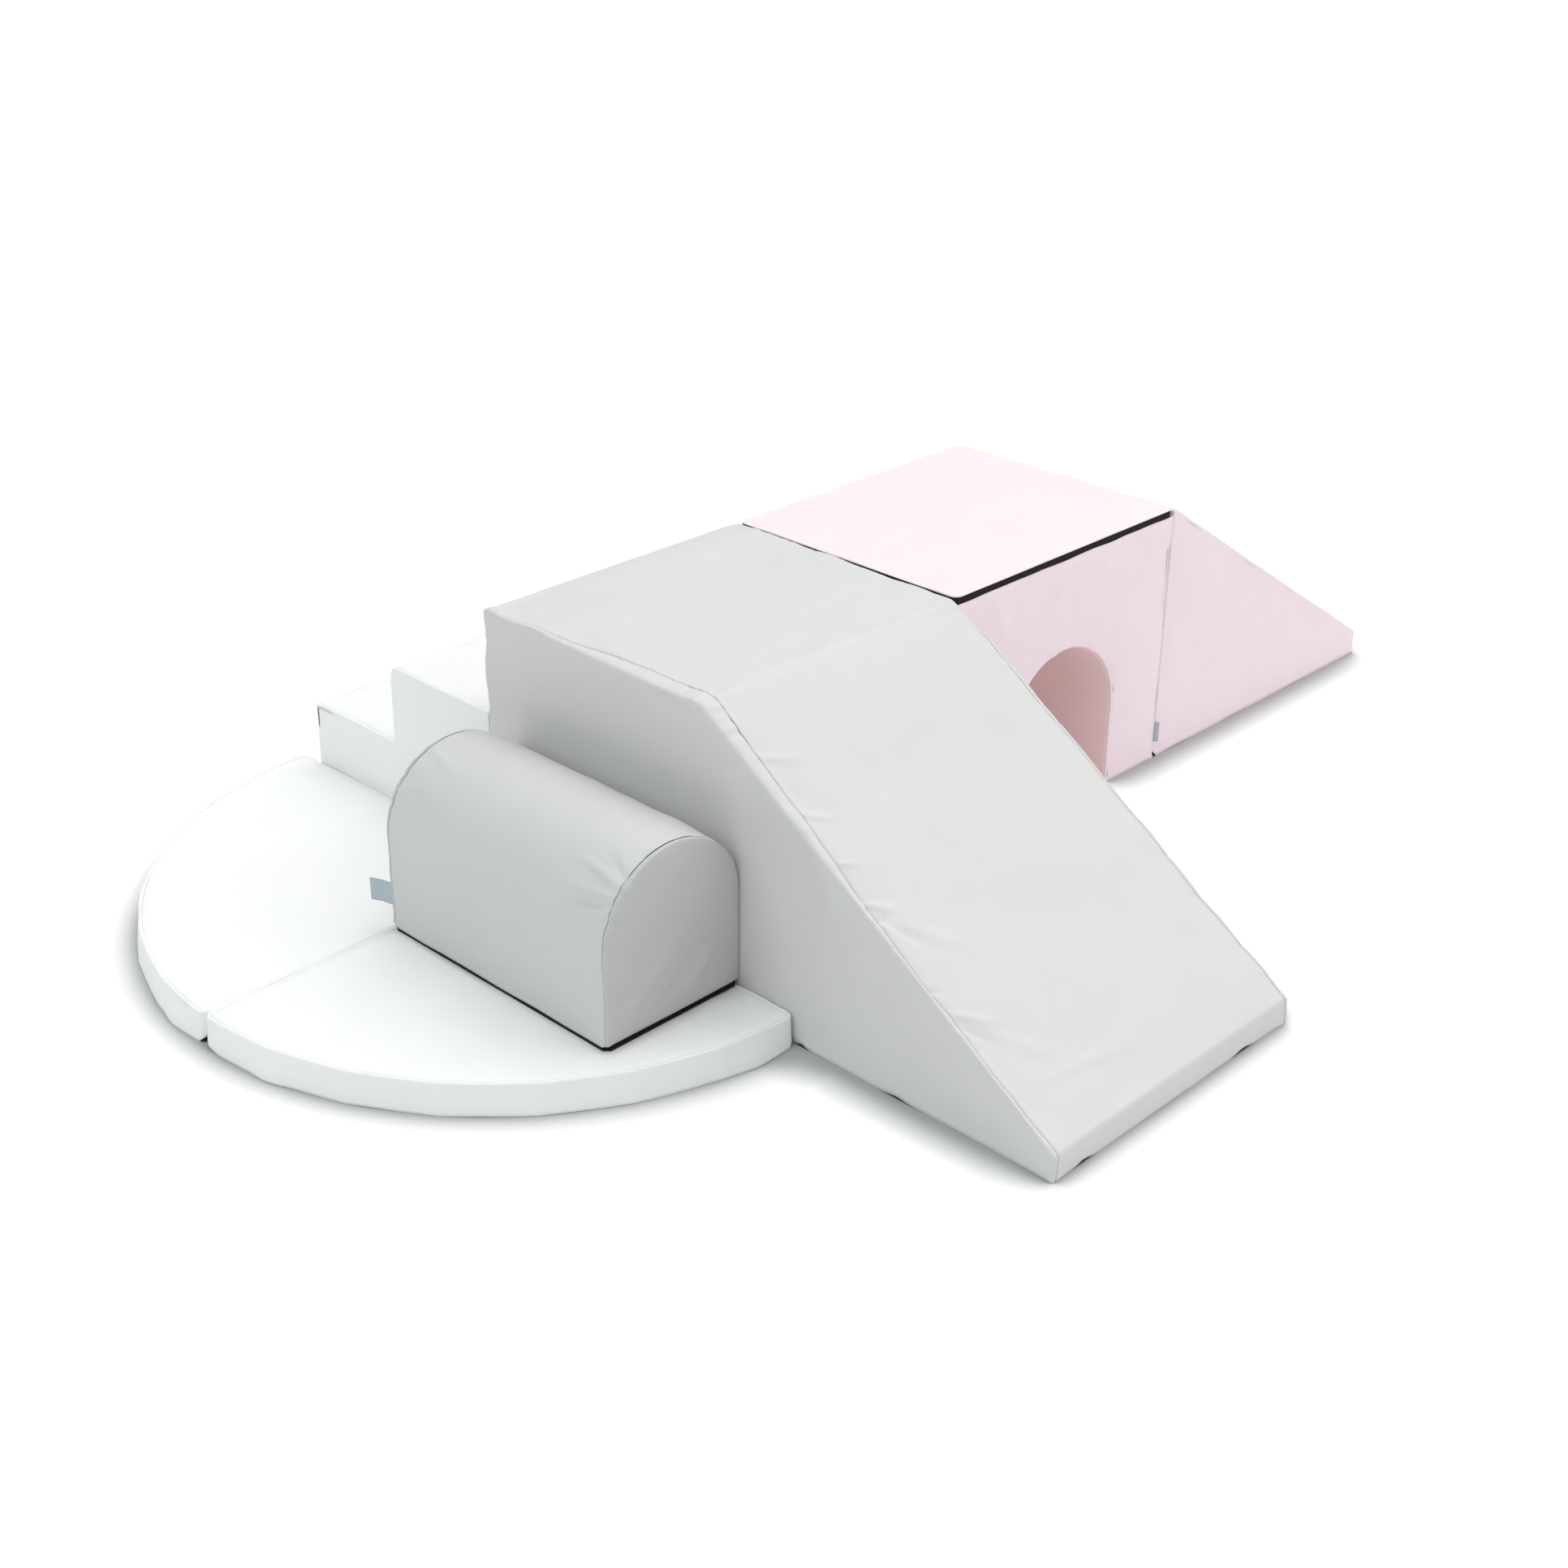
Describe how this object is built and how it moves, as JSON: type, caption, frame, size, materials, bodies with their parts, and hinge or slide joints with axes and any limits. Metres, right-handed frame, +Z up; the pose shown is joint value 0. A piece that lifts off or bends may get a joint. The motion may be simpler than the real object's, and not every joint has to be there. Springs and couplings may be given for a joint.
{
  "type": "soft play climbing set",
  "caption": "Soft play set of foam blocks in zipped leatherette: slide with platform, stairs, tunnel, ramp, half-round block and quarter-round mats.",
  "frame": {"origin": "middle of the slide block's underside, on the floor", "axes": "+Z up; +X runs down the slide from the stairs; +Y runs across the slide towards the tunnel and the ramp"},
  "size_m": [1.7393, 2.5193, 0.5],
  "materials": {
    "foam": "matte",
    "grey_cover": "satin",
    "white_cover": "satin",
    "pink_cover": "satin",
    "rose_lining": "satin",
    "non_slip": "matte",
    "zip": "matte",
    "zip_metal": "satin",
    "side_tag": "matte"
  },
  "bodies": {
    "slide": {"slide_foam": "foam", "slide_left_panel": "grey_cover", "slide_top_panel": "grey_cover", "slide_right_panel": "grey_cover", "slide_zip": "zip", "slide_base": "non_slip"},
    "stairs": {"stairs_foam": "foam", "stairs_left_panel": "white_cover", "stairs_tread_panel": "white_cover", "stairs_right_panel": "white_cover", "stairs_zip": "zip", "stairs_base": "non_slip"},
    "tunnel": {"tunnel_foam": "foam", "tunnel_back_panel": "pink_cover", "tunnel_front_panel": "pink_cover", "tunnel_left_wall": "pink_cover", "tunnel_right_wall": "pink_cover", "tunnel_arch_lining": "rose_lining", "tunnel_base": "non_slip", "tunnel_zip": "zip", "tunnel_top_panel": "pink_cover"},
    "ramp": {"ramp_foam": "foam", "ramp_back_panel": "pink_cover", "ramp_top_panel": "pink_cover", "ramp_front_panel": "pink_cover", "ramp_zip": "zip", "ramp_base": "non_slip", "ramp_side_tag": "side_tag"},
    "half_round": {"half_round_foam": "foam", "half_round_back_panel": "grey_cover", "half_round_roof_panel": "grey_cover", "half_round_front_panel": "grey_cover", "half_round_zip": "zip", "half_round_base": "non_slip", "half_round_side_tag": "side_tag"},
    "left_mat": {"left_mat_foam": "foam", "left_mat_top_panel": "white_cover", "left_mat_side_band": "white_cover", "left_mat_zip": "zip", "left_mat_base": "non_slip"},
    "right_mat": {"right_mat_foam": "foam", "right_mat_top_panel": "white_cover", "right_mat_side_band": "white_cover", "right_mat_zip": "zip", "right_mat_base": "non_slip"},
    "slide_slider": {"slide_zip_slider": "zip_metal"},
    "slide_pull": {"slide_zip_pull": "zip_metal"},
    "stairs_slider": {"stairs_zip_slider": "zip_metal"},
    "stairs_pull": {"stairs_zip_pull": "zip_metal"},
    "tunnel_slider": {"tunnel_zip_slider": "zip_metal"},
    "tunnel_pull": {"tunnel_zip_pull": "zip_metal"},
    "ramp_slider": {"ramp_zip_slider": "zip_metal"},
    "ramp_pull": {"ramp_zip_pull": "zip_metal"},
    "half_round_slider": {"half_round_zip_slider": "zip_metal"},
    "half_round_pull": {"half_round_zip_pull": "zip_metal"},
    "left_mat_slider": {"left_mat_zip_slider": "zip_metal"},
    "left_mat_pull": {"left_mat_zip_pull": "zip_metal"},
    "right_mat_slider": {"right_mat_zip_slider": "zip_metal"},
    "right_mat_pull": {"right_mat_zip_pull": "zip_metal"}
  },
  "joints": [
    {"name": "stairs_pull_away", "type": "slide", "parent": "slide", "child": "stairs", "axis": [-1, 0, 0], "range_m": [0, 0.5]},
    {"name": "tunnel_pull_away", "type": "slide", "parent": "slide", "child": "tunnel", "axis": [0, 1, 0], "range_m": [0, 0.5]},
    {"name": "ramp_pull_away", "type": "slide", "parent": "tunnel", "child": "ramp", "axis": [0, 1, 0], "range_m": [0, 0.5]},
    {"name": "left_mat_pull_away", "type": "slide", "parent": "slide", "child": "left_mat", "axis": [-0.7071, -0.7071, 0], "range_m": [0, 0.4]},
    {"name": "right_mat_pull_away", "type": "slide", "parent": "slide", "child": "right_mat", "axis": [0.7071, -0.7071, 0], "range_m": [0, 0.4]},
    {"name": "half_round_lift", "type": "slide", "parent": "right_mat", "child": "half_round", "axis": [0, 0, 1], "range_m": [0, 0.35]},
    {"name": "slide_zip_run", "type": "slide", "parent": "slide", "child": "slide_slider", "axis": [-1, 0, 0], "range_m": [0, 0.604]},
    {"name": "slide_pull_swing", "type": "hinge", "parent": "slide_slider", "child": "slide_pull", "pos_m": [0.545, 0.2875, 0.007], "axis": [0, 0, 1], "range_deg": [0, 170]},
    {"name": "stairs_zip_run", "type": "slide", "parent": "stairs", "child": "stairs_slider", "axis": [-1, 0, 0], "range_m": [0, 0.4275]},
    {"name": "stairs_pull_swing", "type": "hinge", "parent": "stairs_slider", "child": "stairs_pull", "pos_m": [-0.6458, 0.2875, 0.007], "axis": [0, 0, 1], "range_deg": [0, 170]},
    {"name": "tunnel_zip_run", "type": "slide", "parent": "tunnel", "child": "tunnel_slider", "axis": [0, -1, 0], "range_m": [0, 0.5335]},
    {"name": "tunnel_pull_swing", "type": "hinge", "parent": "tunnel_slider", "child": "tunnel_pull", "pos_m": [-0.595, 0.8443, 0.493], "axis": [0, 0, 1], "range_deg": [0, 170]},
    {"name": "ramp_zip_run", "type": "slide", "parent": "ramp", "child": "ramp_slider", "axis": [0, -1, 0], "range_m": [0, 0.6075]},
    {"name": "ramp_pull_swing", "type": "hinge", "parent": "ramp_slider", "child": "ramp_pull", "pos_m": [-0.595, 1.5561, 0.007], "axis": [0, 0, 1], "range_deg": [0, 170]},
    {"name": "half_round_zip_run", "type": "slide", "parent": "half_round", "child": "half_round_slider", "axis": [0, -1, 0], "range_m": [0, 0.1975]},
    {"name": "half_round_pull_swing", "type": "hinge", "parent": "half_round_slider", "child": "half_round_pull", "pos_m": [-0.519, -0.3383, 0.0604], "axis": [0, 0, 1], "range_deg": [0, 170]},
    {"name": "left_mat_zip_run", "type": "hinge", "parent": "left_mat", "child": "left_mat_slider", "pos_m": [-0.5194, -0.2883, 0.007], "axis": [0, 0, 1], "range_deg": [0, 68]},
    {"name": "left_mat_pull_swing", "type": "hinge", "parent": "left_mat_slider", "child": "left_mat_pull", "pos_m": [-1.13074, -0.41824, 0.007], "axis": [0, 0, 1], "range_deg": [0, 170]},
    {"name": "right_mat_zip_run", "type": "hinge", "parent": "right_mat", "child": "right_mat_slider", "pos_m": [-0.5186, -0.2883, 0.007], "axis": [0, 0, 1], "range_deg": [0, 68]},
    {"name": "right_mat_pull_swing", "type": "hinge", "parent": "right_mat_slider", "child": "right_mat_pull", "pos_m": [-0.38865, -0.89964, 0.007], "axis": [0, 0, 1], "range_deg": [0, 170]}
  ]
}
